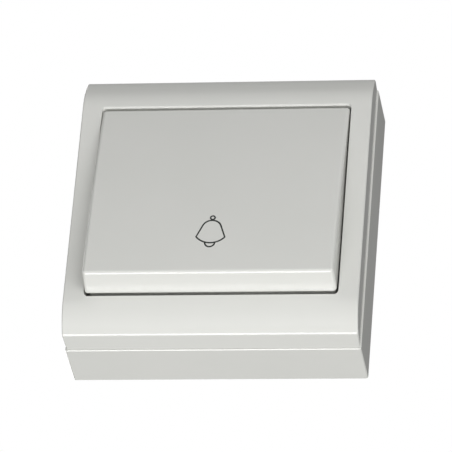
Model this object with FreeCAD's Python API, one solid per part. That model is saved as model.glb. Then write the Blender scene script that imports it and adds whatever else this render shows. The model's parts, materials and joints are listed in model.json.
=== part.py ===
"""Surface-mounted doorbell push with a large rocking key, about 70 mm square.

X runs to the right, Y runs back into the wall and Z runs up. The origin is the centre of the
flat rear face, on the wall, so every piece lies at negative Y and the key faces -Y.
Depths below are distances forward from the wall. All sizes are in millimetres.

A drafted back box stands on the wall. A front frame with a rolled profile snaps into it. A
steel plate across the box carries the switch body, whose cover holds the rocker between two
ears. The key clips on the rocker and stands out at its lower edge. Pressing it there turns the
rocker, its nose drives a sprung plunger, and the plunger's bridge closes two contacts.
"""

import FreeCAD
import Part

import math
import os

Vector = FreeCAD.Vector
X_AXIS = Vector(1, 0, 0)
Y_AXIS = Vector(0, 1, 0)

# Back box
box_width = 70.6
box_height = 72.6
box_depth = 13.6
box_draft = 0.1
box_wall = 2.0
box_corner = 0.5
box_rim_depth = 0.5
box_rim_inset = 0.18

# Wall fixing and cable entry in the back box
slot_spacing_x = 40.0
slot_spacing_z = 48.0
slot_width = 4.4
slot_length = 8.0
slot_pad_margin = 1.8
slot_pad_height = 0.8
cable_entry_width = 24.0
cable_entry_height = 11.0
cable_entry_edge = 5.1
cable_entry_corner = 1.5
knockout_width = 11.0
knockout_skin = 0.8
knockout_end_margin = 1.6

# Pillars that carry the support plate
pillar_inset = 5.3
pillar_radius = 3.2
pillar_height = 7.5
pillar_web = 4.0
pillar_pilot_depth = 6.0

# Front frame
frame_inset_x = 0.2
frame_inset_z = 0.2
frame_wall = 2.2
face_depth = 22.6
seam_gap = 0.08
roll_radius = 12.3
roll_height = 9.1
lip_taper = 0.59
fold_radius = 1.0
frame_end_edge = 0.25
frame_side_limb = 4.9
frame_end_limb = 9.95
opening_corner = 1.0
opening_edge = 0.4
guide_wall = 1.5
guide_depth = 4.1

# Spigot and snap hooks that hold the frame in the box
spigot_clearance = 0.15
spigot_wall = 1.2
spigot_depth = 0.7
spigot_root = 1.6
hook_width = 8.0
hook_spacing = 36.0
hook_length = 5.5
nib_reach = 0.6
nib_height = 1.4
catch_clearance = 0.25

# Key
pivot_depth = 16.0
key_tilt = 7.1
press_angle = 7.0
key_face_reach = 9.7
key_face_bow = 1.1
key_top_setback = 1.62
key_low_setback = 0.9
key_side_gap = 0.26
key_side_draft = 0.15
key_top_draft = 0.7
key_lip_draft = 0.8
key_lip_height = 6.3
key_skirt_inset = 0.7
key_skirt_step = 0.5
key_skirt_rear_low = 1.2
key_skirt_rear_high = -3.0
key_edge = 0.8
key_face_wall = 1.8
key_skirt_wall = 1.5
key_rib_wall = 1.0
key_rib_half_length = 19.0

# Prongs on the key and their windows in the rocker
prong_x = 11.5
prong_width = 4.8
prong_wall = 1.5
prong_outer_z = 9.5
prong_nib_reach = 0.6
prong_nib_height = 1.2
prong_clearance = 0.1
window_width = 5.4
window_inner_z = 6.4

# Rocker
rocker_half_width = 16.9
rocker_half_height = 14.0
rocker_plate = 2.0
rocker_plate_setback = 1.0
trunnion_radius = 1.97
trunnion_clearance = 0.07
trunnion_overhang = 0.4
cheek_clearance = 0.3
cheek_wall = 2.0
nose_arm = 9.0
nose_radius = 1.5
nose_width = 5.0
stop_x = 8.0
stop_width = 3.0
stop_near_z = 11.0
stop_far_z = 13.0
stop_clearance = 0.1

# Support plate
plate_end_margin = 3.0
plate_half_height = 20.0
plate_thickness = 1.0
plate_flange = 2.4
plate_flange_half_width = 24.0
plate_corner = 2.0
plate_slot_width = 3.4
plate_slot_length = 6.4
plate_body_clearance = 0.15
plate_screw_radius = 1.4
plate_screw_length = 6.2
plate_screw_head_radius = 2.8
plate_screw_head_height = 1.8
plate_screw_slot = 0.8
screw_clearance = 0.05

# Switch body and its cover
body_half_width = 22.0
body_half_height = 17.0
body_rear_depth = 3.5
body_corner = 1.5
flange_margin = 1.2
flange_height = 1.5
body_nib_reach = 0.6
body_nib_height = 1.0
body_nib_half_length = 3.0
body_nib_z = 8.0
core_width = 6.4
core_rib = 1.2
core_low_z = 2.0
core_high_z = 14.0
core_floor = 2.0
cover_thickness = 1.2
ear_wall = 2.6
ear_gap = 0.3
ear_radius = 3.7
ear_throat = 3.4
cover_screw_x = 19.8
cover_screw_z = 14.3
cover_screw_radius = 0.85
cover_screw_length = 4.5
cover_screw_head_radius = 1.8
cover_screw_head_height = 1.1
cover_screw_slot = 0.5

# Contacts, all at the height of the rocker's nose
strip_half_height = 2.5
strip_inner_x = 4.4
strip_neck_x = 10.0
strip_outer_x = 18.0
strip_thickness = 0.8
strip_cover_gap = 4.0
pocket_clearance = 0.2
tip_radius = 1.5
tip_height = 0.6
tip_x = 6.4
contact_gap = 1.2
terminal_x = 14.0
terminal_z = -11.0
terminal_half_height = 4.0
collar_radius = 2.75
collar_height = 2.0
terminal_screw_radius = 1.65
terminal_screw_head_radius = 3.0
terminal_screw_head_height = 2.0
terminal_screw_slot = 0.9
driver_clearance = 0.3
washer_half_size = 3.2
washer_thickness = 1.0
wire_entry_width = 4.2

# Plunger, bridge and return spring
plunger_stem_radius = 2.0
plunger_clearance = 0.1
plunger_flange_radius = 3.0
plunger_flange_height = 1.0
flange_clearance = 0.3
plunger_tail_radius = 1.1
plunger_tail_length = 3.9
nose_clearance = 0.1
bridge_half_length = 8.2
bridge_half_height = 2.0
bridge_thickness = 0.6
well_radius = 2.9
well_floor = 1.5
spring_radius = 2.0
spring_wire_radius = 0.25
spring_wire_sides = 6
spring_turns = 5
spring_runs_per_turn = 12

# Outlines that follow from the sizes above
frame_width = box_width - 2 * frame_inset_x
frame_height = box_height - 2 * frame_inset_z
flat_half_height = frame_height / 2 - roll_height
opening_width = frame_width - 2 * frame_side_limb
opening_height = frame_height - 2 * frame_end_limb
key_width = opening_width - 2 * key_side_gap
key_face_up = opening_height / 2 - key_top_setback
key_face_down = opening_height / 2 - key_low_setback
key_height = opening_height * 1.2
pillar_spacing = box_width - 2 * pillar_inset
plate_half_width = pillar_spacing / 2 + plate_end_margin
cable_entry_low = cable_entry_edge - box_height / 2

# Levels forward from the wall that several pieces share
pillar_top = box_wall + pillar_height
plate_front = pillar_top + plate_thickness
body_front = plate_front + flange_height
cover_front = body_front + cover_thickness
strip_front = body_front - strip_cover_gap
strip_rear = strip_front - strip_thickness
well_bottom = body_rear_depth + well_floor
nose_rest_drop = nose_arm * math.sin(math.radians(key_tilt))
plunger_head = pivot_depth + nose_rest_drop - nose_radius - nose_clearance
box_inner_x = box_width / 2 - box_wall
box_inner_z = box_height / 2 - box_wall
ear_inner_x = rocker_half_width + ear_gap
ear_outer_x = ear_inner_x + ear_wall
rocker_rear = pivot_depth + rocker_plate_setback
rocker_front = rocker_rear + rocker_plate
sides = {"left": -1, "right": 1}


def block(x_range, depth_range, z_range):
    """A box between two values of X, two depths from the wall and two values of Z."""
    x0, x1 = sorted(x_range)
    d0, d1 = sorted(depth_range)
    z0, z1 = sorted(z_range)
    return Part.makeBox(x1 - x0, d1 - d0, z1 - z0, Vector(x0, -d1, z0))


def rod(radius, x, z, depth_range):
    """A cylinder along Y between two depths."""
    d0, d1 = sorted(depth_range)
    return Part.makeCylinder(radius, d1 - d0, Vector(x, -d1, z), Y_AXIS)


def cross_rod(radius, depth, z, x_range):
    """A cylinder along X between two values of X."""
    x0, x1 = sorted(x_range)
    return Part.makeCylinder(radius, x1 - x0, Vector(x0, -depth, z), X_AXIS)


def rounded_outline(x_range, z_range, radius, depth):
    """A closed rectangle with round corners, in the plane at one depth."""
    x0, x1 = sorted(x_range)
    z0, z1 = sorted(z_range)
    corners = [(x1 - radius, z1 - radius, 0), (x0 + radius, z1 - radius, 90),
               (x0 + radius, z0 + radius, 180), (x1 - radius, z0 + radius, 270)]
    edges = []
    last = None
    first = None
    for x, z, start in corners:
        points = []
        for turn in (0, 45, 90):
            angle = math.radians(start + turn)
            points.append(Vector(x + radius * math.cos(angle), -depth, z + radius * math.sin(angle)))
        if last is None:
            first = points[0]
        else:
            edges.append(Part.LineSegment(last, points[0]).toShape())
        edges.append(Part.Arc(*points).toShape())
        last = points[2]
    edges.append(Part.LineSegment(last, first).toShape())
    return Part.Wire(edges)


def rounded_block(x_range, depth_range, z_range, radius):
    """A box whose four edges along Y are round."""
    d0, d1 = sorted(depth_range)
    outline = rounded_outline(x_range, z_range, radius, d0)
    return Part.Face(outline).extrude(Vector(0, d0 - d1, 0))


def slot(x, z, length, width, depth_range, upright=False):
    """A slot with round ends, cut along X or, if upright, along Z."""
    half_x = width / 2 if upright else length / 2
    half_z = length / 2 if upright else width / 2
    return rounded_block((x - half_x, x + half_x), depth_range, (z - half_z, z + half_z),
                         width / 2 - 0.001)


def frustum(low_x, high_x, low_z, high_z, depths):
    """A four-sided block from flat faces, with one rectangle at each of two depths.

    Each argument is a pair: its value at the rear and its value at the front.
    """
    return Part.makeWedge(low_x[1], -depths[1], low_z[1], low_z[0], low_x[0],
                          high_x[1], -depths[0], high_z[1], high_z[0], high_x[0])


def edges_where(shape, test):
    """The edges whose every sampled point passes the test."""
    found = []
    for edge in shape.Edges:
        points = edge.discretize(5)
        if all(test(p) for p in points):
            found.append(edge)
    return found


def corner_edges(shape):
    """The edges that run from front to rear."""
    return [e for e in shape.Edges if abs(e.Vertexes[0].Point.y - e.Vertexes[-1].Point.y) > 0.1]


def fused(first, others):
    """One solid from several that overlap."""
    return first.multiFuse(list(others)).removeSplitter()


def wedge(x_range, outline):
    """A prism along X from (depth, z) corners."""
    x0, x1 = sorted(x_range)
    points = [Vector(x0, -depth, z) for depth, z in outline]
    face = Part.Face(Part.makePolygon(points + points[:1]))
    return face.extrude(Vector(x1 - x0, 0, 0))


def upright_wedge(z_range, outline):
    """A prism along Z from (x, depth) corners."""
    z0, z1 = sorted(z_range)
    points = [Vector(x, -depth, z0) for x, depth in outline]
    face = Part.Face(Part.makePolygon(points + points[:1]))
    return face.extrude(Vector(0, 0, z1 - z0))


def make_back_box():
    """A drafted tray on the wall with slots, a cable entry, pillars and catches."""
    half_x, half_z = box_width / 2, box_height / 2
    rim_x, rim_z = half_x - box_draft, half_z - box_draft
    tray = frustum((-half_x, -rim_x), (half_x, rim_x), (-half_z, -rim_z), (half_z, rim_z), (0, box_depth))
    tray = tray.makeFillet(box_corner, corner_edges(tray))
    rim_edges = edges_where(tray, lambda p: abs(p.y + box_depth) < 0.01)
    tray = tray.makeChamfer(box_rim_depth, box_rim_inset, rim_edges)
    tray = tray.cut(rounded_block((-box_inner_x, box_inner_x), (box_wall, box_depth + 1),
                                  (-box_inner_z, box_inner_z), box_corner))
    added = []
    for side in sides.values():
        x = side * pillar_spacing / 2
        added.append(rod(pillar_radius, x, 0, (box_wall / 2, pillar_top)))
        added.append(block((x, side * (box_inner_x + box_wall / 2)), (box_wall / 2, pillar_top),
                           (-pillar_web / 2, pillar_web / 2)))
    slots = []
    pad_half_x = slot_length / 2 + slot_pad_margin
    pad_half_z = slot_width / 2 + slot_pad_margin
    for x in (-slot_spacing_x / 2, slot_spacing_x / 2):
        for z in (-slot_spacing_z / 2, slot_spacing_z / 2):
            added.append(block((x - pad_half_x, x + pad_half_x), (box_wall / 2, box_wall + slot_pad_height),
                               (z - pad_half_z, z + pad_half_z)))
            slots.append(slot(x, z, slot_length, slot_width, (-1, box_wall + slot_pad_height + 1)))
    tray = fused(tray, added)
    removed = list(slots)
    half_entry = cable_entry_width / 2
    removed.append(rounded_block((-half_entry, half_entry), (-1, box_wall + 1),
                                 (cable_entry_low, cable_entry_low + cable_entry_height),
                                 cable_entry_corner))
    for side in sides.values():
        removed.append(rod(plate_screw_radius + screw_clearance, side * pillar_spacing / 2, 0,
                           (pillar_top - pillar_pilot_depth, pillar_top + 1)))
    for end in (-1, 1):
        removed.append(block((-knockout_width / 2, knockout_width / 2),
                             (box_wall, box_depth - knockout_end_margin),
                             (end * (box_inner_z - 1), end * (half_z - knockout_skin))))
        for side in sides.values():
            removed.append(catch_pocket(side, end))
    return tray.cut(Part.makeCompound(removed)).removeSplitter()


def hook_tip_depth():
    """Depth of the free end of the frame's snap hooks."""
    return box_depth - hook_length


def catch_pocket(side, end):
    """The pocket in the box's wall that one nib of the frame snaps into."""
    x = side * hook_spacing / 2
    half = hook_width / 2 + catch_clearance
    tip = hook_tip_depth()
    outer = box_inner_z - spigot_clearance + nib_reach + catch_clearance
    return block((x - half, x + half), (tip - catch_clearance, tip + nib_height + catch_clearance),
                 (end * (box_inner_z - 1), end * outer))


def frame_profile(inset, rear_depth):
    """The frame's section: flat face, rolled ends and tapered lips, drawn inset by a wall.

    Where the roll meets the lip it leaves the fold, which the section's own geometry places.
    """
    radius = roll_radius - inset
    seam = box_depth + seam_gap
    centre_depth = face_depth - roll_radius
    slope = lip_taper / (face_depth - roll_radius / 3 - seam)
    lip_at_seam = frame_height / 2 - inset

    def on_lip(depth):
        return lip_at_seam - slope * (depth - seam)

    # Crossing of the lip's line and the roll's circle, forward of the circle's centre.
    a = 1 + slope ** 2
    c_line = on_lip(centre_depth) - flat_half_height
    b = -2 * slope * c_line
    c = c_line ** 2 - radius ** 2
    forward = (-b + math.sqrt(b * b - 4 * a * c)) / (2 * a)
    fold_depth = centre_depth + forward
    fold_z = on_lip(fold_depth)
    start_angle = math.atan2(fold_z - flat_half_height, forward)

    def on_roll(angle, end):
        return Vector(0, -(centre_depth + radius * math.cos(angle)),
                      end * (flat_half_height + radius * math.sin(angle)))

    rear_z = on_lip(rear_depth)
    top = [Vector(0, -rear_depth, rear_z), Vector(0, -fold_depth, fold_z)]
    low = [Vector(0, -fold_depth, -fold_z), Vector(0, -rear_depth, -rear_z)]
    edges = [Part.LineSegment(top[0], top[1]).toShape(),
             Part.Arc(top[1], on_roll(start_angle / 2, 1), on_roll(0, 1)).toShape(),
             Part.LineSegment(on_roll(0, 1), on_roll(0, -1)).toShape(),
             Part.Arc(on_roll(0, -1), on_roll(start_angle / 2, -1), low[0]).toShape(),
             Part.LineSegment(low[0], low[1]).toShape(),
             Part.LineSegment(low[1], top[0]).toShape()]
    return Part.Wire(edges), fold_depth


def make_front_frame():
    """The clip-on cover frame: an extruded rolled section, hollowed, with the key's opening."""
    seam = box_depth + seam_gap
    half_x = frame_width / 2
    wire, fold_depth = frame_profile(0, seam)
    solid = Part.Face(wire).extrude(Vector(frame_width, 0, 0))
    solid.translate(Vector(-half_x, 0, 0))
    folds = edges_where(solid, lambda p: abs(p.y + fold_depth) < 0.01)
    solid = solid.makeFillet(fold_radius, folds)
    ends = edges_where(solid, lambda p: abs(abs(p.x) - half_x) < 0.01)
    ends = [e for e in ends if any(abs(p.y + seam) > 0.01 for p in e.discretize(5))]
    solid = solid.makeChamfer(frame_end_edge, ends)

    inner_wire, _ = frame_profile(frame_wall, seam - 1)
    hollow = Part.Face(inner_wire).extrude(Vector(frame_width - 2 * frame_wall, 0, 0))
    hollow.translate(Vector(-half_x + frame_wall, 0, 0))
    solid = solid.cut(hollow)

    opening_x, opening_z = opening_width / 2, opening_height / 2
    guides = []
    guide_range = (face_depth - guide_depth, face_depth - frame_wall / 2)
    for side in sides.values():
        guides.append(block((side * opening_x, side * (opening_x + guide_wall)), guide_range,
                            (-opening_z - guide_wall, opening_z + guide_wall)))
    guides.append(block((-opening_x - guide_wall, opening_x + guide_wall), guide_range,
                        (opening_z, opening_z + guide_wall)))
    solid = fused(solid, guides)
    opening = rounded_block((-opening_x, opening_x), (face_depth - guide_depth - 1, face_depth + 1),
                            (-opening_z, opening_z), opening_corner)
    solid = solid.cut(opening)
    mouth = edges_where(solid, lambda p: abs(p.y + face_depth) < 0.01
                        and abs(p.x) < opening_x + 0.01 and abs(p.z) < opening_z + 0.01)
    solid = solid.makeChamfer(opening_edge, mouth)
    return fused(solid, [make_spigot()])


def make_spigot():
    """The ring inside the frame's rear edge that enters the box, with its four snap hooks."""
    seam = box_depth + seam_gap
    outer_x = box_inner_x - spigot_clearance
    outer_z = box_inner_z - spigot_clearance
    depths = (box_depth - spigot_depth, seam + spigot_root)
    ring = rounded_block((-outer_x, outer_x), depths, (-outer_z, outer_z), box_corner)
    inner_x, inner_z = outer_x - spigot_wall, outer_z - spigot_wall
    ring = ring.cut(block((-inner_x, inner_x), (depths[0] - 1, depths[1] + 1), (-inner_z, inner_z)))
    hooks = []
    tip = hook_tip_depth()
    for side in sides.values():
        x = side * hook_spacing / 2
        span = (x - hook_width / 2, x + hook_width / 2)
        for end in (-1, 1):
            hooks.append(block(span, (tip, box_depth), (end * inner_z, end * outer_z)))
            hooks.append(wedge(span, [(tip, end * (outer_z - spigot_wall / 2)),
                                      (tip, end * outer_z),
                                      (tip + nib_height, end * (outer_z + nib_reach)),
                                      (tip + nib_height, end * (outer_z - spigot_wall / 2))]))
    return fused(ring, hooks)


def at_rest(shape):
    """A piece drawn square to the wall, turned about the pivot to where it rests."""
    shape.rotate(Vector(0, -pivot_depth, 0), X_AXIS, -key_tilt)
    return shape


def key_limits(reach):
    """The key's half width, its top and its bottom at one distance forward of the pivot."""
    lip = (key_face_reach - reach) / key_lip_height
    if lip <= 1:
        return (key_width / 2, key_face_up + key_top_draft * lip, key_face_down + key_lip_draft * lip)
    skirt = (lip - 1) * key_lip_height / (key_face_reach + key_skirt_rear_low - key_lip_height)
    return (key_width / 2 - key_side_draft * skirt, key_face_up + key_top_draft,
            key_face_down + key_lip_draft - key_skirt_inset * skirt)


def key_bow():
    """The cylinder along X that the key's face lies on: its radius, its axis's depth and its Z."""
    half_chord = (key_face_up + key_face_down) / 2
    radius = (half_chord ** 2 + key_face_bow ** 2) / (2 * key_face_bow)
    return radius, pivot_depth + key_face_reach + key_face_bow - radius, (key_face_up - key_face_down) / 2


def key_stage(rear, front, inset):
    """A drafted block between two distances forward of the pivot, set in from the key's outline."""
    rear_side, rear_top, rear_low = key_limits(rear)
    side, top, low = key_limits(front)
    return frustum((inset - rear_side, inset - side), (rear_side - inset, side - inset),
                   (inset - rear_low, inset - low), (rear_top - inset, top - inset),
                   (pivot_depth + rear, pivot_depth + front))


def make_push_key():
    """The hollow key: a bowed face, a deep lower lip, ribs and four prongs for the rocker."""
    crest = key_face_reach + key_face_bow
    waist = key_face_reach - key_lip_height
    radius, axis_depth, axis_z = key_bow()
    bow_span = (-key_width, key_width)
    lip = key_stage(waist, crest, 0).common(cross_rod(radius, axis_depth, axis_z, bow_span))
    skirt = key_stage(-key_skirt_rear_low, waist + key_skirt_step, key_skirt_step)
    face_edges = edges_where(lip, lambda p: abs(math.hypot(p.y + axis_depth, p.z - axis_z) - radius) < 0.01)
    lip = lip.makeFillet(key_edge, face_edges + corner_edges(lip))
    skirt = skirt.makeFillet(key_edge, corner_edges(skirt))
    shell = lip.fuse(skirt).removeSplitter()
    inner_bow = cross_rod(radius - key_face_wall, axis_depth, axis_z, bow_span)
    hollow = key_stage(-key_skirt_rear_low - 1, crest - key_face_wall, key_skirt_wall)
    shell = shell.cut(hollow.common(inner_bow))
    # The skirt's rear edge rises towards the top, so that it stays clear of the box's pieces.
    low, high = -key_height / 2, key_height / 2
    shell = shell.cut(wedge((-key_width, key_width), [(pivot_depth - key_skirt_rear_low, low),
                                                      (pivot_depth - key_skirt_rear_high, high),
                                                      (0, high), (0, low)]))
    rib_front = pivot_depth + crest - key_face_wall / 2
    added = []
    for side in sides.values():
        x = side * prong_x
        added.append(block((x - key_rib_wall / 2, x + key_rib_wall / 2),
                           (rocker_front, rib_front),
                           (-key_rib_half_length, key_rib_half_length)))
        span = (x - prong_width / 2, x + prong_width / 2)
        tip = rocker_rear - prong_nib_height - prong_clearance
        for end in (-1, 1):
            inner_z = prong_outer_z - prong_wall
            added.append(block(span, (tip, rib_front), (end * inner_z, end * prong_outer_z)))
            added.append(wedge(span, [(tip, end * inner_z), (tip, end * prong_outer_z),
                                      (tip + prong_nib_height, end * (prong_outer_z + prong_nib_reach)),
                                      (tip + prong_nib_height, end * inner_z)]))
    return at_rest(fused(shell, added))


def make_rocker():
    """The pivoting carrier: a plate with trunnions, the nose, end stops and prong windows."""
    rear, front = rocker_rear, rocker_front
    plate = block((-rocker_half_width, rocker_half_width), (rear, front),
                  (-rocker_half_height, rocker_half_height))
    added = []
    for side in sides.values():
        cheek = (side * (rocker_half_width - cheek_wall), side * rocker_half_width)
        added.append(cross_rod(pivot_depth - cover_front - cheek_clearance, pivot_depth, 0, cheek))
        added.append(cross_rod(trunnion_radius, pivot_depth, 0,
                               (side * (rocker_half_width - cheek_wall),
                                side * (ear_outer_x + trunnion_overhang))))
        span = (side * (stop_x - stop_width / 2), side * (stop_x + stop_width / 2))
        room = pivot_depth - cover_front - stop_clearance
        tilt = math.radians(key_tilt)
        left = math.radians(key_tilt - press_angle)
        rest_reach = (room - stop_far_z * math.sin(tilt)) / math.cos(tilt)
        press_reach = (room + stop_near_z * math.sin(left)) / math.cos(left)
        added.append(block(span, (pivot_depth - rest_reach, rear + rocker_plate / 2),
                           (stop_near_z, stop_far_z)))
        added.append(block(span, (pivot_depth - press_reach, rear + rocker_plate / 2),
                           (-stop_far_z, -stop_near_z)))
    added.append(cross_rod(nose_radius, pivot_depth, -nose_arm, (-nose_width / 2, nose_width / 2)))
    added.append(block((-nose_width / 2, nose_width / 2), (pivot_depth, rear + rocker_plate / 2),
                       (-nose_arm - nose_radius, -nose_arm + nose_radius)))
    plate = fused(plate, added)
    windows = []
    for side in sides.values():
        x = side * prong_x
        for end in (-1, 1):
            windows.append(block((x - window_width / 2, x + window_width / 2), (rear - 1, front + 1),
                                 (end * window_inner_z, end * (prong_outer_z + prong_clearance))))
    return at_rest(plate.cut(Part.makeCompound(windows)))


def make_support_plate():
    """The pressed steel plate that hangs the switch between the box's pillars."""
    plate = rounded_block((-plate_half_width, plate_half_width), (pillar_top, plate_front),
                          (-plate_half_height, plate_half_height), plate_corner)
    flanges = []
    for end in (-1, 1):
        flanges.append(block((-plate_flange_half_width, plate_flange_half_width),
                             (pillar_top, plate_front + plate_flange),
                             (end * (plate_half_height - plate_thickness), end * plate_half_height)))
    plate = fused(plate, flanges)
    gap_x = body_half_width + plate_body_clearance
    gap_z = body_half_height + plate_body_clearance
    removed = [rounded_block((-gap_x, gap_x), (pillar_top - 1, plate_front + 1), (-gap_z, gap_z),
                             body_corner)]
    for side in sides.values():
        removed.append(slot(side * pillar_spacing / 2, 0, plate_slot_length, plate_slot_width,
                            (pillar_top - 1, plate_front + 1), upright=True))
    return plate.cut(Part.makeCompound(removed))


def make_screw(x, z, seat_depth, radius, length, head_radius, head_height, slot_width):
    """A cheese-headed screw along Y whose head sits on one depth, with a driver slot."""
    shank = rod(radius, x, z, (seat_depth - length, seat_depth + head_height / 2))
    head = rod(head_radius, x, z, (seat_depth, seat_depth + head_height))
    screw = fused(head, [shank])
    groove = block((x - head_radius, x + head_radius),
                   (seat_depth + head_height / 2, seat_depth + head_height + 1),
                   (z - slot_width / 2, z + slot_width / 2))
    return screw.cut(groove)


def make_switch_body():
    """The moulded insulating body, open at the front, with pockets for contacts and spring."""
    half_x, half_z = body_half_width, body_half_height
    body = rounded_block((-half_x, half_x), (body_rear_depth, body_front), (-half_z, half_z), body_corner)
    added = [flange_block(plate_front, body_front)]
    nib_front = pillar_top - screw_clearance
    root = half_x - body_nib_reach
    for side in sides.values():
        for z in (-body_nib_z, body_nib_z):
            added.append(upright_wedge((z - body_nib_half_length, z + body_nib_half_length),
                                       [(side * root, nib_front),
                                        (side * (half_x + body_nib_reach), nib_front),
                                        (side * half_x, nib_front - body_nib_height),
                                        (side * root, nib_front - body_nib_height)]))
    body = fused(body, added)
    removed = []
    gap = pocket_clearance
    contact_z = -nose_arm
    pocket = (strip_rear, body_front + 1)
    removed.append(block((-strip_neck_x - gap, strip_neck_x + gap), pocket,
                         (contact_z - strip_half_height - gap, contact_z + strip_half_height + gap)))
    for side in sides.values():
        x = side * terminal_x
        removed.append(block((side * (strip_neck_x - gap), side * (strip_outer_x + gap)), pocket,
                             (terminal_z - terminal_half_height - gap,
                              terminal_z + terminal_half_height + gap)))
        removed.append(rod(collar_radius + gap, x, terminal_z,
                           (strip_rear - collar_height - gap, strip_rear + 0.5)))
        removed.append(block((x - wire_entry_width / 2, x + wire_entry_width / 2),
                             (strip_front, pillar_top), (-half_z - 1, terminal_z)))
        removed.append(rod(cover_screw_radius + screw_clearance, side * cover_screw_x,
                           -side * cover_screw_z, (body_front - cover_screw_length, body_front + 1)))
    removed.append(rod(well_radius, 0, contact_z, (well_bottom, strip_rear + 0.5)))
    removed.append(rod(plunger_flange_radius + flange_clearance, 0, contact_z, pocket))
    for x in core_centres():
        removed.append(block((x - core_width / 2, x + core_width / 2),
                             (body_rear_depth + core_floor, body_front + 1), (core_low_z, core_high_z)))
    return body.cut(Part.makeCompound(removed))


def core_centres():
    """Where the moulding is cored out above the contacts."""
    pitch = core_width + core_rib
    return [pitch * (i - 1.5) for i in range(4)]


def flange_block(rear, front):
    """A plate of the size of the body's flange, which its cover shares."""
    half_x = body_half_width + flange_margin
    half_z = body_half_height + flange_margin
    return rounded_block((-half_x, half_x), (rear, front), (-half_z, half_z), body_corner)


def make_switch_cover():
    """The body's front cover, with two snap-in ears that hold the rocker's trunnions."""
    cover = flange_block(body_front, cover_front)
    through = (body_front - 1, cover_front + 1)
    ears = []
    removed = []
    for side in sides.values():
        span = (side * ear_inner_x, side * ear_outer_x)
        ears.append(block(span, (cover_front - cover_thickness / 2, pivot_depth),
                          (-ear_radius, ear_radius)))
        ears.append(cross_rod(ear_radius, pivot_depth, 0, span))
        across = (side * (ear_inner_x - 1), side * (ear_outer_x + 1))
        removed.append(cross_rod(trunnion_radius + trunnion_clearance, pivot_depth, 0, across))
        removed.append(block(across, (pivot_depth, pivot_depth + ear_radius + 1),
                             (-ear_throat / 2, ear_throat / 2)))
        removed.append(rod(terminal_screw_head_radius + driver_clearance, side * terminal_x, terminal_z,
                           through))
        removed.append(rod(cover_screw_radius + screw_clearance, side * cover_screw_x,
                           -side * cover_screw_z, through))
    removed.append(rod(plunger_stem_radius + plunger_clearance, 0, -nose_arm, through))
    return fused(cover, ears).cut(Part.makeCompound(removed))


def make_contact_strip(side):
    """A fixed brass strip: a contact arm, a wide terminal pad and a threaded collar."""
    x = side * terminal_x
    arm = block((side * strip_inner_x, side * strip_neck_x), (strip_rear, strip_front),
                (-nose_arm - strip_half_height, -nose_arm + strip_half_height))
    pad = block((side * strip_neck_x, side * strip_outer_x), (strip_rear, strip_front),
                (terminal_z - terminal_half_height, terminal_z + terminal_half_height))
    collar = rod(collar_radius, x, terminal_z, (strip_rear - collar_height, strip_front))
    strip = fused(arm, [pad, collar])
    return strip.cut(rod(terminal_screw_radius + screw_clearance, x, terminal_z,
                         (strip_rear - collar_height - 1, strip_front + 1)))


def make_tip(x, base_depth, direction):
    """A silver contact disc that stands on a strip or a bridge."""
    return rod(tip_radius, x, -nose_arm, (base_depth, base_depth + direction * tip_height))


def make_clamp_washer(x):
    """The square washer that clamps a wire under the terminal screw."""
    washer = block((x - washer_half_size, x + washer_half_size),
                   (strip_front, strip_front + washer_thickness),
                   (terminal_z - washer_half_size, terminal_z + washer_half_size))
    return washer.cut(rod(terminal_screw_radius + screw_clearance, x, terminal_z,
                          (strip_front - 1, strip_front + washer_thickness + 1)))


def bridge_rear_depth():
    """Depth of the bridge's rear face, on which its two tips stand."""
    return strip_front + 2 * tip_height + contact_gap


def plunger_shoulder_depth():
    """Depth of the shoulder that carries the bridge."""
    return bridge_rear_depth() + bridge_thickness


def make_plunger():
    """The insulating plunger: a head under the nose, a flange behind the cover and a tail."""
    shoulder = plunger_shoulder_depth()
    stem = rod(plunger_stem_radius, 0, -nose_arm, (shoulder, plunger_head))
    flange = rod(plunger_flange_radius, 0, -nose_arm, (shoulder, shoulder + plunger_flange_height))
    tail = rod(plunger_tail_radius, 0, -nose_arm, (shoulder - plunger_tail_length, shoulder + 0.5))
    return fused(stem, [flange, tail])


def make_contact_bridge():
    """The springy bronze bridge that the plunger drives on to both fixed tips."""
    rear = bridge_rear_depth()
    bridge = block((-bridge_half_length, bridge_half_length), (rear, rear + bridge_thickness),
                   (-nose_arm - bridge_half_height, -nose_arm + bridge_half_height))
    return bridge.cut(rod(plunger_tail_radius + screw_clearance, 0, -nose_arm,
                          (rear - 1, rear + bridge_thickness + 1)))


def make_return_spring():
    """The coil spring between the well's floor and the bridge, as short straight runs of wire."""
    low = well_bottom + spring_wire_radius
    high = bridge_rear_depth() - spring_wire_radius
    runs = spring_turns * spring_runs_per_turn
    points = []
    for i in range(runs + 1):
        angle = 2 * math.pi * i / spring_runs_per_turn
        points.append(Vector(spring_radius * math.cos(angle), -(low + (high - low) * i / runs),
                             -nose_arm + spring_radius * math.sin(angle)))
    along = (points[1] - points[0]).normalize()
    across = along.cross(X_AXIS).normalize()
    outward = across.cross(along).normalize()
    section = []
    for i in range(spring_wire_sides + 1):
        angle = 2 * math.pi * i / spring_wire_sides
        section.append(points[0] + outward * (spring_wire_radius * math.cos(angle))
                       + across * (spring_wire_radius * math.sin(angle)))
    mitred = 1
    return Part.makePolygon(points).makePipeShell([Part.makePolygon(section)], True, False, mitred)


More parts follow.
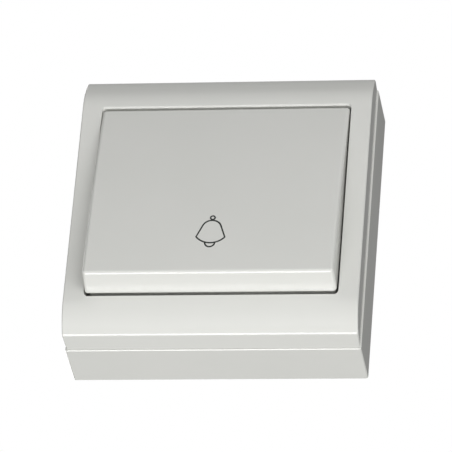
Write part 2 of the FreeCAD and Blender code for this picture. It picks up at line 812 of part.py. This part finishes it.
def make_nodes():
    """Every piece by its name."""
    nodes = {
        "back_box": make_back_box(),
        "front_frame": make_front_frame(),
        "push_key": make_push_key(),
        "rocker": make_rocker(),
        "support_plate": make_support_plate(),
        "switch_body": make_switch_body(),
        "switch_cover": make_switch_cover(),
        "plunger": make_plunger(),
        "contact_bridge": make_contact_bridge(),
        "return_spring": make_return_spring(),
    }
    bridge_rear = bridge_rear_depth()
    for name, side in sides.items():
        x = side * terminal_x
        nodes["plate_screw_" + name] = make_screw(
            side * pillar_spacing / 2, 0, plate_front, plate_screw_radius, plate_screw_length,
            plate_screw_head_radius, plate_screw_head_height, plate_screw_slot)
        nodes["cover_screw_" + name] = make_screw(
            side * cover_screw_x, -side * cover_screw_z, cover_front, cover_screw_radius,
            cover_screw_length, cover_screw_head_radius, cover_screw_head_height, cover_screw_slot)
        nodes["contact_strip_" + name] = make_contact_strip(side)
        nodes["fixed_tip_" + name] = make_tip(side * tip_x, strip_front, 1)
        nodes["bridge_tip_" + name] = make_tip(side * tip_x, bridge_rear, -1)
        nodes["clamp_washer_" + name] = make_clamp_washer(x)
        washer_front = strip_front + washer_thickness
        nodes["terminal_screw_" + name] = make_screw(
            x, terminal_z, washer_front, terminal_screw_radius,
            washer_thickness + strip_thickness + collar_height, terminal_screw_head_radius,
            terminal_screw_head_height, terminal_screw_slot)
    return nodes


def main():
    os.makedirs("parts", exist_ok=True)
    for name, shape in make_nodes().items():
        shape.exportStep("parts/" + name + ".step")
        solids = shape.Solids
        print(name, len(solids), "solid", round(shape.Volume, 1), shape.isValid())


main()
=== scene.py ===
"""Looks of a surface-mounted doorbell push: moulded white plastic round a large tilted key.

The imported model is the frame. The three shells that show are smooth copies of their solids, the
bell sign is a thin print on the key, and every other piece keeps its solid with its own finish.
"""

import json
import math

import bmesh
import bpy
from mathutils import Matrix, Vector


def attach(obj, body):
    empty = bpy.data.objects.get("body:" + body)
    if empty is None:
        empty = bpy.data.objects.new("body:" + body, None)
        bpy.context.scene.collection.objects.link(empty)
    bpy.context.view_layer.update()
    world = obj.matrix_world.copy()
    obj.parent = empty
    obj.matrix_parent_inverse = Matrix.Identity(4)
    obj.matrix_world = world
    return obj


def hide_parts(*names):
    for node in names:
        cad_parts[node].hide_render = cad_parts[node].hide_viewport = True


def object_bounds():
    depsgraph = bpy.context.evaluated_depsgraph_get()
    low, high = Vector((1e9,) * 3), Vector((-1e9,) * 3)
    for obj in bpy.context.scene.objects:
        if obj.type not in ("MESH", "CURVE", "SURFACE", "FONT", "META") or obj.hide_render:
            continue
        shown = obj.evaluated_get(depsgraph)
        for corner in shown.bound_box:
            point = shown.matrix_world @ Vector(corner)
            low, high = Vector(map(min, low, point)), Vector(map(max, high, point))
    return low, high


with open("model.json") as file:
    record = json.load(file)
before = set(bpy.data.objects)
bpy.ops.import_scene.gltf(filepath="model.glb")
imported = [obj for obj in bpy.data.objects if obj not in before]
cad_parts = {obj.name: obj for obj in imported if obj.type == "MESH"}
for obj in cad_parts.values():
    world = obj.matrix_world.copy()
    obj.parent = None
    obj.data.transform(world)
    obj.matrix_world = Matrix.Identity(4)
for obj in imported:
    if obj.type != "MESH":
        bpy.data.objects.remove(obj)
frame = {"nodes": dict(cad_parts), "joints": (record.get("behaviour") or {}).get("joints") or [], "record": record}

cad_low, cad_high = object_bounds()

MM = 0.001
NODES = frame["nodes"]

# Points nearer to each other than the first are one, and points nearer to a plane than the second
# lie on it
MERGE_DISTANCE = 0.0005 * MM
TOUCH = 0.01 * MM

# Edges of the solids that turn by more than this are crisp, and faces that turn by less are one
CRISP_ANGLE = math.radians(15)
FLAT_ANGLE = math.radians(0.1)

# The round on each moulding's outer edges, too fine for the solids, and its number of steps
BOX_ROUND = 0.07 * MM
FRAME_ROUND = 0.13 * MM
KEY_ROUND = 0.1 * MM
ROUND_STEPS = 3

# What lies beyond these planes is outside: sides across, ends up and down, and fronts before the
# wall. Behind the fronts, the frame's opening and the key's walls are hidden.
BOX_SIDE = 34.9 * MM
BOX_END = 35.9 * MM
FRAME_SIDE = 34.6 * MM
FRAME_END = 35.3 * MM
FRAME_FRONT = 22.1 * MM
KEY_FRONT = 22.3 * MM

# The chamfer on the box's rim: its depth in the solid and here, how much wider it is here at the
# sides and finer at the ends, and how far inside the box's planes its front edge may lie
RIM_DEPTH = 0.5 * MM
RIM_DEPTH_SEEN = 0.22 * MM
RIM_WIDER = 0.12 * MM
RIM_FINER = 0.06 * MM
RIM_REACH = 0.2 * MM

# How far the frame's rear edge moves inwards, so that the rim shows behind it as a light line
RIM_SHOWN = 0.2 * MM

# The frame's opening in the solid: its face, the rear of its wall, its half width, its lower wall,
# its corner radius and the chamfer round it
FACE_DEPTH = 22.6 * MM
OPENING_REAR = 20.4 * MM
OPENING_HALF = 30.2 * MM
OPENING_LOW = 26.15 * MM
OPENING_CORNER = 1.0 * MM
OPENING_EDGE = 0.4 * MM

# The chamfer that is left at the sides and below, and how far the lower wall makes room for the lip
EDGE_SEEN = 0.05 * MM
WALL_LOWERED = 0.3 * MM

# How the key stands at rest: its hinge, its tilt, how far its face's ends lie before the hinge,
# and the bow of the face between them, over half its height and from its middle
KEY_HINGE = Vector(frame["joints"][0]["pos_m"])
KEY_TILT = math.radians(7.1)
KEY_FACE_REACH = 9.7 * MM
KEY_FACE_BOW = 1.1 * MM
KEY_FACE_HALF = 24.89 * MM
KEY_FACE_MIDDLE = -0.36 * MM

# The key's lip: its height from front to rear, how low its front edge lies, what that gains towards
# the rear, its corner radius, and how much lower its rear edge reaches here than in the solid
LIP_HEIGHT = 6.3 * MM
LIP_TOP = 25.25 * MM
LIP_DRAFT = 0.8 * MM
LIP_CORNER = 0.8 * MM
LIP_LOWERED = 0.35 * MM

# The key's half width, the draft of its sides before the frame, and its play to the left
KEY_HALF = 29.94 * MM
SIDE_SLOPE = 0.03
KEY_PLAY = 0.1 * MM

# The bell sign's print: its line, its film, how deep the film sits in the face, and where the
# centre of its ring lies, across from the middle and upwards from the hinge's level
SIGN_LINE = 0.38 * MM
SIGN_THICKNESS = 0.03 * MM
SIGN_SINK = 0.012 * MM
SIGN_X = 0.05 * MM
SIGN_HEIGHT = -9.88 * MM
SIGN_TURN = math.radians(-1.3)

# The bell sign's strokes, in millimetres from the centre of its ring and in degrees
RING_RADIUS = 0.53
CROWN_HEIGHT = -3.07
CROWN_RADIUS = 2.3
CROWN_ANGLES = (20, 160)
BELL_CORNER_X = 3.42
BELL_CORNER_HEIGHT = -5.58
BELL_LOWEST = -7.23
CLAPPER_HEIGHT = -7.2
CLAPPER_RADIUS = 1.17
CLAPPER_ANGLES = (176, 364)
RING_STEPS = 24
BELL_STEPS = 20
CLAPPER_STEPS = 14

# Camera: where it stands, how it leans, its lens and sensor in millimetres, and its near and far
# limits in metres
CAMERA_PLACE = Vector((0.1829, -0.9990, -0.6134))
CAMERA_RIGHT = Vector((0.98783, 0.13748, 0.07278))
CAMERA_UP = Vector((0.01051, -0.52578, 0.85055))
CAMERA_LENS = 392.4
SENSOR_WIDTH = 36.0
CAMERA_NEAR = 0.05
CAMERA_FAR = 50.0

# Light: each lamp's direction from the object (right, back, up), its distance, width and length in
# metres and the brightness it gives a white surface that faces it, then the room's even light
OBJECT_MIDDLE = (cad_low + cad_high) / 2
LAMPS = {
    "right_lamp": ((0.60, -0.72, -0.34), 1.0, 1.1, 1.1, 0.665),
    "left_lamp": ((-0.49, -0.85, -0.17), 1.0, 1.1, 1.1, 0.165),
    "high_lamp": ((0.14, -0.81, 0.57), 1.0, 1.1, 1.1, 0.135),
    "low_strip": ((-0.155, -0.2, -0.97), 1.0, 0.26, 0.8, 0.47),
    "top_lamp": ((-0.2, 0.2, 1.0), 1.2, 0.8, 0.8, 0.046),
    "rear_lamp": ((-0.55, 0.7, 0.45), 1.2, 0.8, 0.8, 0.4),
}
ROOM_LIGHT = 0.117

# The backdrop and the floor, in metres, and their pale dull paper
BACKDROP_GLOW = 1.0
BACKDROP_DISTANCE = 1.6
BACKDROP_SIZE = 0.3
FLOOR_HEIGHT = -1.3
FLOOR_SIZE = 8.0
PAPER_COLOUR = "f4f4f2"
PAPER_ROUGHNESS = 0.9
WHITE = "ffffff"

# A moulded surface: the width of its clouds of shade in millimetres, how much they change its
# roughness, and how strongly its grain shows
CLOUD_MM = 22
CLOUD_GLOSS = 0.03
GRAIN_STRENGTH = 0.6

# A worked metal: how much its lines change its roughness, and how strong and how deep they are
LINE_GLOSS = 0.08
LINE_STRENGTH = 0.5
LINE_DEPTH = 0.003 * MM


def linear(code):
    """A linear colour, with alpha 1, from an sRGB hex code."""
    channels = [int(code[i:i + 2], 16) / 255 for i in (0, 2, 4)]
    bent = [c / 12.92 if c <= 0.04045 else ((c + 0.055) / 1.055) ** 2.4 for c in channels]
    return (*bent, 1.0)


def add(tree, kind, settings=None, inputs=None, links=None):
    """Adds a node with its settings, its socket values and its links from other nodes' sockets."""
    node = tree.nodes.new(kind)
    for name, value in (settings or {}).items():
        setattr(node, name, value)
    for name, value in (inputs or {}).items():
        node.inputs[name].default_value = value
    for name, source in (links or {}).items():
        tree.links.new(source, node.inputs[name])
    return node


def placed(name, data):
    """A new object in the scene that holds this data."""
    piece = bpy.data.objects.new(name, data)
    bpy.context.scene.collection.objects.link(piece)
    return piece


def plain_mesh(piece):
    """The mesh that an object's modifiers make, as plain data."""
    return bpy.data.meshes.new_from_object(piece.evaluated_get(bpy.context.evaluated_depsgraph_get()))


def new_material(name):
    """A node material that is empty but for its output."""
    material = bpy.data.materials.new(name)
    material.use_nodes = True
    tree = material.node_tree
    tree.nodes.clear()
    return material, tree, add(tree, "ShaderNodeOutputMaterial")


def per_metre(size_mm):
    """The scale of a pattern on Object coordinates whose features are so many millimetres apart."""
    return 1.0 / (size_mm * MM)


def finish(tree, output, pattern, low, high, inputs, links=None):
    """Ends a material with a shader whose colour goes from one hex colour to another by a pattern."""
    ramp = add(tree, "ShaderNodeValToRGB", links={"Fac": pattern})
    ramp.color_ramp.elements[0].color = linear(low)
    ramp.color_ramp.elements[1].color = linear(high)
    shader = add(tree, "ShaderNodeBsdfPrincipled", inputs=inputs,
                 links={"Base Color": ramp.outputs["Color"], **(links or {})})
    tree.links.new(shader.outputs["BSDF"], output.inputs["Surface"])


def moulded_plastic(name, low, high, roughness, grain_mm, depth_mm, ior):
    """A moulded thermoplastic: faint cloudy shade, uneven gloss and a fine eroded grain.

    The real grain is a tenth of a millimetre or less, and is drawn coarser so that it shows.
    """
    material, tree, output = new_material(name)
    place = add(tree, "ShaderNodeTexCoord").outputs["Object"]
    cloud = add(tree, "ShaderNodeTexNoise", inputs={"Scale": per_metre(CLOUD_MM), "Detail": 3.0},
                links={"Vector": place}).outputs["Fac"]
    grain = add(tree, "ShaderNodeTexNoise", inputs={"Scale": per_metre(grain_mm), "Detail": 2.0},
                links={"Vector": place}).outputs["Fac"]
    gloss = add(tree, "ShaderNodeMapRange",
                inputs={"To Min": roughness - CLOUD_GLOSS, "To Max": roughness + CLOUD_GLOSS},
                links={"Value": cloud}).outputs["Result"]
    bump = add(tree, "ShaderNodeBump",
               inputs={"Strength": GRAIN_STRENGTH, "Distance": depth_mm * MM},
               links={"Height": grain}).outputs["Normal"]
    finish(tree, output, cloud, low, high, {"IOR": ior}, {"Roughness": gloss, "Normal": bump})
    return material


def white_abs():
    """White ABS from a polished mould: an even white, barely warm, with soft long reflections."""
    return moulded_plastic("abs_polished_white", "e6e7e2", "ecece8",
                           roughness=0.16, grain_mm=0.45, depth_mm=0.0015, ior=1.54)


def natural_nylon():
    """Natural polyamide, as in switch rockers: creamy, with the dull skin of a plain mould."""
    return moulded_plastic("polyamide_natural", "d2cfc2", "dcd9cd",
                           roughness=0.45, grain_mm=0.6, depth_mm=0.004, ior=1.53)


def grey_pbt():
    """Flame-proof PBT, dark grey and dull, as moulded for switch bodies."""
    return moulded_plastic("pbt_dark_grey", "34373a", "3d4043",
                           roughness=0.5, grain_mm=0.6, depth_mm=0.004, ior=1.57)


def red_acetal():
    """Red-brown acetal, slippery and slightly waxy, as moulded for plungers."""
    return moulded_plastic("acetal_red_brown", "7d2f22", "8b382a",
                           roughness=0.35, grain_mm=0.6, depth_mm=0.002, ior=1.48)


def worked_metal(name, low, high, roughness, line_mm, stretch):
    """A bare or plated metal with lines along X, from rolling, drawing or stamping."""
    material, tree, output = new_material(name)
    place = add(tree, "ShaderNodeTexCoord").outputs["Object"]
    drawn = add(tree, "ShaderNodeMapping", inputs={"Scale": (1.0 / stretch, 1.0, 1.0)},
                links={"Vector": place}).outputs["Vector"]
    lines = add(tree, "ShaderNodeTexNoise", inputs={"Scale": per_metre(line_mm), "Detail": 4.0},
                links={"Vector": drawn}).outputs["Fac"]
    gloss = add(tree, "ShaderNodeMapRange",
                inputs={"To Min": roughness - LINE_GLOSS, "To Max": roughness + LINE_GLOSS},
                links={"Value": lines}).outputs["Result"]
    bump = add(tree, "ShaderNodeBump", inputs={"Strength": LINE_STRENGTH, "Distance": LINE_DEPTH},
               links={"Height": lines}).outputs["Normal"]
    finish(tree, output, lines, low, high, {"Metallic": 1.0}, {"Roughness": gloss, "Normal": bump})
    return material


def zinc_plate():
    """Steel with blue-white zinc plating, slightly cloudy and rolled along its length."""
    return worked_metal("zinc_plated_steel", "aeb2b5", "c6c9cb",
                        roughness=0.34, line_mm=0.5, stretch=6.0)


def spring_wire():
    """Hard-drawn spring wire, darker than the plate, with drawing lines."""
    return worked_metal("drawn_spring_steel", "85878a", "9fa1a4",
                        roughness=0.3, line_mm=0.2, stretch=4.0)


def stamped_brass():
    """Stamped brass strip with a warm yellow skin."""
    return worked_metal("stamped_brass", "b8924b", "cda75c",
                        roughness=0.3, line_mm=0.4, stretch=6.0)


def phosphor_bronze():
    """Phosphor bronze spring strip, redder than brass."""
    return worked_metal("phosphor_bronze", "a9744a", "bd8558",
                        roughness=0.3, line_mm=0.4, stretch=6.0)


def contact_silver():
    """Bright contact silver, pressed smooth, so its pattern has no direction."""
    return worked_metal("contact_silver", "d5d6d3", "e6e7e4",
                        roughness=0.2, line_mm=0.3, stretch=1.0)


def printed_ink():
    """Pad-printed dark grey ink: nearly black, dull, with a slightly uneven film."""
    material, tree, output = new_material("pad_printed_ink")
    place = add(tree, "ShaderNodeTexCoord").outputs["Object"]
    film = add(tree, "ShaderNodeTexNoise", inputs={"Scale": per_metre(0.5), "Detail": 3.0},
               links={"Vector": place}).outputs["Fac"]
    finish(tree, output, film, "262a28", "343835", {"Roughness": 0.5})
    return material


def cad_finishes():
    """Each kept solid's material, by the record's slot."""
    by_slot = {
        "rocker_plastic": natural_nylon(),
        "body_plastic": grey_pbt(),
        "plunger_plastic": red_acetal(),
        "zinc_steel": zinc_plate(),
        "spring_steel": spring_wire(),
        "brass_strip": stamped_brass(),
        "bronze": phosphor_bronze(),
        "silver": contact_silver(),
    }
    for part in frame["record"]["subparts"]:
        material = by_slot.get(part["material_slot"])
        if material:
            data = NODES[part["node"]].data
            data.materials.clear()
            data.materials.append(material)


def clipped(value):
    """A number held between 0 and 1."""
    return min(1.0, max(0.0, value))


def on_plane(value, plane):
    """Whether a coordinate lies on a plane."""
    return abs(value - plane) < TOUCH


def on_box_outside(point):
    """Whether a point lies on the box's outer faces."""
    return abs(point.x) > BOX_SIDE or abs(point.z) > BOX_END


def on_frame_side(point):
    """Whether a point lies on the frame's sides or ends."""
    return abs(point.x) > FRAME_SIDE or abs(point.z) > FRAME_END


def on_frame_outside(point):
    """Whether a point lies on the frame's outer faces or round its opening."""
    return on_frame_side(point) or -point.y > FRAME_FRONT


def on_key_outside(point):
    """Whether a point lies on the part of the key that stands before the frame."""
    return -point.y > KEY_FRONT


def draw_in(vertex, side, end, from_side, from_end):
    """Moves a vertex inwards by one distance beyond a side, and by another beyond an end."""
    place = vertex.co.copy()
    if abs(place.x) > side:
        vertex.co.x -= from_side * math.copysign(1.0, place.x)
    if abs(place.z) > end:
        vertex.co.z -= from_end * math.copysign(1.0, place.z)


def fit_box(shell):
    """Turns the chamfer of the box's rim, so that it catches the light all round."""
    front = min(vertex.co.y for vertex in shell.verts)
    for vertex in shell.verts:
        if on_plane(vertex.co.y, front):
            draw_in(vertex, BOX_SIDE - RIM_REACH, BOX_END - RIM_REACH, RIM_WIDER, -RIM_FINER)
        elif on_plane(vertex.co.y, front + RIM_DEPTH) and on_box_outside(vertex.co):
            vertex.co.y = front + RIM_DEPTH_SEEN


def show_rim(shell):
    """Moves the frame's rear edge inwards, so that more of the box's rim shows behind it."""
    outside = [vertex for vertex in shell.verts if on_frame_side(vertex.co)]
    rear = max(vertex.co.y for vertex in outside)
    for vertex in outside:
        if on_plane(vertex.co.y, rear):
            draw_in(vertex, FRAME_SIDE, FRAME_END, RIM_SHOWN, RIM_SHOWN)


def fine_opening(shell):
    """Makes the frame's opening keener at its sides and below, and lowers its lower wall."""
    centre_x = OPENING_HALF - OPENING_CORNER
    centre_z = OPENING_LOW - OPENING_CORNER
    front_radius = OPENING_CORNER + OPENING_EDGE
    keen = (OPENING_CORNER + EDGE_SEEN) / front_radius
    drop = WALL_LOWERED / OPENING_CORNER
    for vertex in shell.verts:
        place = vertex.co.copy()
        before_rear = -place.y > OPENING_REAR - TOUCH
        between_sides = abs(place.x) < centre_x + front_radius + TOUCH
        by_opening = -centre_z - front_radius - TOUCH < place.z < OPENING_LOW
        if not (before_rear and between_sides and by_opening):
            continue
        behind_edge = clipped((FACE_DEPTH + place.y) / OPENING_EDGE)
        out = abs(place.x) - centre_x
        if out > 0:
            vertex.co.x = math.copysign(centre_x + out * (keen + (1 - keen) * behind_edge), place.x)
        below = -place.z - centre_z
        if below > 0:
            vertex.co.z = -centre_z - below * (1 + drop * behind_edge)


def fit_frame(shell):
    """The frame's rear edge and its opening, as they show."""
    show_rim(shell)
    fine_opening(shell)


def face_rise(height):
    """How far the key's bowed face lies before the line between its ends, at one height."""
    radius = (KEY_FACE_HALF ** 2 + KEY_FACE_BOW ** 2) / (2 * KEY_FACE_BOW)
    return math.sqrt(radius ** 2 - (height - KEY_FACE_MIDDLE) ** 2) - radius + KEY_FACE_BOW


def fit_key(shell):
    """Drafts the key's sides before the frame, lowers its lip and moves it by its play.

    This is done square to the key, with its hinge at the origin and its tilt undone.
    """
    to_square = Matrix.Rotation(KEY_TILT, 4, "X") @ Matrix.Translation(-KEY_HINGE)
    to_rest = to_square.inverted()
    for vertex in shell.verts:
        stand = max(0.0, -vertex.co.y - FACE_DEPTH)
        place = to_square @ vertex.co
        half = abs(place.x)
        if half > KEY_HALF / 2:
            half -= SIDE_SLOPE * stand
        place.x = math.copysign(half, place.x) - KEY_PLAY
        behind = KEY_FACE_REACH + place.y
        if behind < LIP_HEIGHT + TOUCH and place.z < 0:
            along = behind / LIP_HEIGHT
            surface = LIP_TOP + LIP_DRAFT * along
            outward = clipped(1 - (surface + place.z) / LIP_CORNER)
            place.z -= LIP_LOWERED * clipped(along) * outward
        vertex.co = to_rest @ place


def weigh_edges(shell, shows):
    """Marks the crisp edges: those that show get a bevel weight, and the others are sharp."""
    weight = shell.edges.layers.float.new("bevel_weight_edge")
    for edge in shell.edges:
        crisp = len(edge.link_faces) == 2 and edge.calc_face_angle(0.0) > CRISP_ANGLE
        rounded = crisp and shows((edge.verts[0].co + edge.verts[1].co) / 2)
        edge[weight] = 1.0 if rounded else 0.0
        edge.smooth = rounded or not crisp


def smooth_shell(node, name, body, material, fit, shows, edge_round):
    """A smooth-shaded copy of a moulded solid, in its place, with its outer edges slightly rounded."""
    data = NODES[node].data.copy()
    data.name = name
    shell = bmesh.new()
    shell.from_mesh(data)
    bmesh.ops.remove_doubles(shell, verts=shell.verts, dist=MERGE_DISTANCE)
    bmesh.ops.dissolve_limit(shell, angle_limit=FLAT_ANGLE, verts=shell.verts, edges=shell.edges)
    fit(shell)
    for face in shell.faces:
        face.smooth = True
    weigh_edges(shell, shows)
    shell.to_mesh(data)
    shell.free()
    data.materials.clear()
    data.materials.append(material)
    piece = placed(name, data)
    bevel = piece.modifiers.new("tiny_round", "BEVEL")
    bevel.limit_method = "WEIGHT"
    bevel.offset_type = "OFFSET"
    bevel.width = edge_round
    bevel.segments = ROUND_STEPS
    bevel.miter_outer = "MITER_ARC"
    even = piece.modifiers.new("even_normals", "WEIGHTED_NORMAL")
    even.keep_sharp = True
    even.weight = 100
    baked = plain_mesh(piece)
    piece.modifiers.clear()
    piece.data = baked
    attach(piece, body)
    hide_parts(node)
    return piece


def arc_points(height, radius, angles, steps):
    """Points along an arc about a centre on the sign's middle line, as (x, height) pairs."""
    start, end = angles
    points = []
    for i in range(steps + 1):
        angle = math.radians(start + (end - start) * i / steps)
        points.append((radius * math.cos(angle), height + radius * math.sin(angle)))
    return points


def sign_strokes():
    """The bell sign's strokes, ring, bell and clapper, each with whether it is closed."""
    ring = arc_points(0.0, RING_RADIUS, (0, 360), RING_STEPS)
    crown = arc_points(CROWN_HEIGHT, CROWN_RADIUS, CROWN_ANGLES, BELL_STEPS)
    sagitta = BELL_CORNER_HEIGHT - BELL_LOWEST
    mouth_radius = (BELL_CORNER_X ** 2 + sagitta ** 2) / (2 * sagitta)
    half = math.degrees(math.asin(BELL_CORNER_X / mouth_radius))
    mouth = arc_points(BELL_LOWEST + mouth_radius, mouth_radius, (270 - half, 270 + half), BELL_STEPS)
    clapper = arc_points(CLAPPER_HEIGHT, CLAPPER_RADIUS, CLAPPER_ANGLES, CLAPPER_STEPS)
    return [(ring, True), (crown + mouth, True), (clapper, False)]


def stroke_tree(ink):
    """The tree that turns the sign's centre lines into flat inked strokes."""
    tree = bpy.data.node_groups.new("inked_stroke", "GeometryNodeTree")
    sockets = tree.interface
    sockets.new_socket("Geometry", in_out="INPUT", socket_type="NodeSocketGeometry")
    sockets.new_socket("Line width", in_out="INPUT", socket_type="NodeSocketFloat")
    sockets.new_socket("Film thickness", in_out="INPUT", socket_type="NodeSocketFloat")
    sockets.new_socket("Geometry", in_out="OUTPUT", socket_type="NodeSocketGeometry")
    source = add(tree, "NodeGroupInput").outputs
    profile = add(tree, "GeometryNodeCurvePrimitiveQuadrilateral",
                  links={"Width": source["Line width"], "Height": source["Film thickness"]})
    stroke = add(tree, "GeometryNodeCurveToMesh", inputs={"Fill Caps": True},
                 links={"Curve": source["Geometry"], "Profile Curve": profile.outputs["Curve"]})
    solid = add(tree, "GeometryNodeRealizeInstances", links={"Geometry": stroke.outputs["Mesh"]})
    inked = add(tree, "GeometryNodeSetMaterial", inputs={"Material": ink},
                links={"Geometry": solid.outputs["Geometry"]})
    add(tree, "NodeGroupOutput", links={"Geometry": inked.outputs["Geometry"]})
    return tree


def sign_lines():
    """The centre lines of the sign's strokes, flat, as one curve object."""
    curve = bpy.data.curves.new("bell_lines", "CURVE")
    curve.dimensions = "3D"
    for points, closed in sign_strokes():
        spline = curve.splines.new("POLY")
        spline.points.add(len(points) - 1)
        for point, (x, height) in zip(spline.points, points):
            point.co = (x * MM, height * MM, 0.0, 1.0)
        spline.use_cyclic_u = closed
    return placed("bell_lines", curve)


def bell_sign(ink):
    """The bell printed on the key's face, one thin mesh of three strokes."""
    lines = sign_lines()
    tree = stroke_tree(ink)
    stroke = lines.modifiers.new("inked_stroke", "NODES")
    stroke.node_group = tree
    sizes = {"Line width": SIGN_LINE, "Film thickness": SIGN_THICKNESS}
    for socket in tree.interface.items_tree:
        if socket.in_out == "INPUT" and socket.name in sizes:
            stroke[socket.identifier] = sizes[socket.name]
    bpy.context.view_layer.update()
    made = plain_mesh(lines)
    bpy.data.objects.remove(lines)
    made.transform(Matrix.Translation((SIGN_X, SIGN_HEIGHT, 0.0)) @ Matrix.Rotation(SIGN_TURN, 4, "Z"))
    film_middle = SIGN_THICKNESS / 2 - SIGN_SINK
    for vertex in made.vertices:
        vertex.co.z += KEY_FACE_REACH + face_rise(vertex.co.y) + film_middle
    tilt = Matrix.Rotation(math.radians(90) - KEY_TILT, 4, "X")
    made.transform(Matrix.Translation(KEY_HINGE) @ tilt)
    piece = placed("bell_sign", made)
    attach(piece, "key_unit")
    return piece


def make_camera():
    """The camera that stands and leans as the photograph's did."""
    data = bpy.data.cameras.new("camera")
    data.lens = CAMERA_LENS
    data.sensor_width = SENSOR_WIDTH
    data.clip_start = CAMERA_NEAR
    data.clip_end = CAMERA_FAR
    camera = placed("camera", data)
    right = CAMERA_RIGHT.normalized()
    back = right.cross(CAMERA_UP).normalized()
    up = back.cross(right)
    turn = Matrix((right, up, back)).transposed().to_4x4()
    camera.matrix_world = Matrix.Translation(CAMERA_PLACE) @ turn
    bpy.context.scene.camera = camera


def make_light():
    """Soft lamps round the object, the strongest to the right of the camera, and a strip below.

    Each lamp's width lies across, and its length up or back.
    """
    for name, (direction, distance, width, length, brightness) in LAMPS.items():
        data = bpy.data.lights.new(name, "AREA")
        data.shape = "RECTANGLE"
        data.size = width
        data.size_y = length
        data.energy = brightness * (math.pi * distance) ** 2
        lamp = placed(name, data)
        toward = Vector(direction).normalized()
        across = (Vector((1, 0, 0)) - toward * toward.x).normalized()
        turn = Matrix((across, toward.cross(across), toward)).transposed().to_4x4()
        lamp.matrix_world = Matrix.Translation(OBJECT_MIDDLE + toward * distance) @ turn


def make_world():
    """The room's even grey light."""
    world = bpy.data.worlds.new("studio")
    bpy.context.scene.world = world
    world.use_nodes = True
    tree = world.node_tree
    tree.nodes.clear()
    room = add(tree, "ShaderNodeBackground",
               inputs={"Color": linear(WHITE), "Strength": ROOM_LIGHT})
    add(tree, "ShaderNodeOutputWorld", links={"Surface": room.outputs["Background"]})


def flat_sheet(name, corners, material):
    """A flat sheet of the studio between four corners."""
    data = bpy.data.meshes.new(name)
    data.from_pydata(corners, [], [(0, 1, 2, 3)])
    data.materials.append(material)
    return placed(name, data)


def make_backdrop():
    """A white card behind the object, which glows for the eye, for mirrors and through glass."""
    material, tree, output = new_material("white_backdrop")
    path = add(tree, "ShaderNodeLightPath").outputs
    seen = add(tree, "ShaderNodeMath", {"operation": "MAXIMUM"})
    tree.links.new(path["Is Camera Ray"], seen.inputs[0])
    tree.links.new(path["Is Glossy Ray"], seen.inputs[1])
    clear = add(tree, "ShaderNodeMath", {"operation": "MAXIMUM"})
    tree.links.new(seen.outputs[0], clear.inputs[0])
    tree.links.new(path["Is Transmission Ray"], clear.inputs[1])
    paper = add(tree, "ShaderNodeBsdfPrincipled",
                inputs={"Base Color": linear(PAPER_COLOUR), "Roughness": PAPER_ROUGHNESS})
    glow = add(tree, "ShaderNodeEmission",
               inputs={"Color": linear(WHITE), "Strength": BACKDROP_GLOW})
    mix = add(tree, "ShaderNodeMixShader", links={"Fac": clear.outputs[0]})
    tree.links.new(paper.outputs["BSDF"], mix.inputs[1])
    tree.links.new(glow.outputs["Emission"], mix.inputs[2])
    tree.links.new(mix.outputs["Shader"], output.inputs["Surface"])
    half = BACKDROP_SIZE / 2
    away = (OBJECT_MIDDLE - CAMERA_PLACE).normalized()
    centre = OBJECT_MIDDLE + away * BACKDROP_DISTANCE
    corners = [centre + CAMERA_RIGHT * x * half + CAMERA_UP * y * half
               for x, y in ((-1, -1), (1, -1), (1, 1), (-1, 1))]
    backdrop = flat_sheet("backdrop", corners, material)


def make_floor():
    """A plain pale floor, far below the camera."""
    material, tree, output = new_material("pale_floor")
    paper = add(tree, "ShaderNodeBsdfPrincipled",
                inputs={"Base Color": linear(PAPER_COLOUR), "Roughness": PAPER_ROUGHNESS})
    tree.links.new(paper.outputs["BSDF"], output.inputs["Surface"])
    half = FLOOR_SIZE / 2
    corners = [(x * half, y * half, FLOOR_HEIGHT) for x, y in ((-1, -1), (1, -1), (1, 1), (-1, 1))]
    floor = flat_sheet("floor", corners, material)


def dress():
    """Every finish and every piece that shows."""
    cad_finishes()
    abs_white = white_abs()
    smooth_shell("back_box", "box_shell", "base", abs_white, fit_box, on_box_outside, BOX_ROUND)
    smooth_shell("front_frame", "frame_shell", "base", abs_white, fit_frame, on_frame_outside, FRAME_ROUND)
    smooth_shell("push_key", "key_shell", "key_unit", abs_white, fit_key, on_key_outside, KEY_ROUND)
    bell_sign(printed_ink())


dress()
make_camera()
make_light()
make_world()
make_backdrop()
make_floor()
bpy.context.scene.view_settings.view_transform = "Standard"
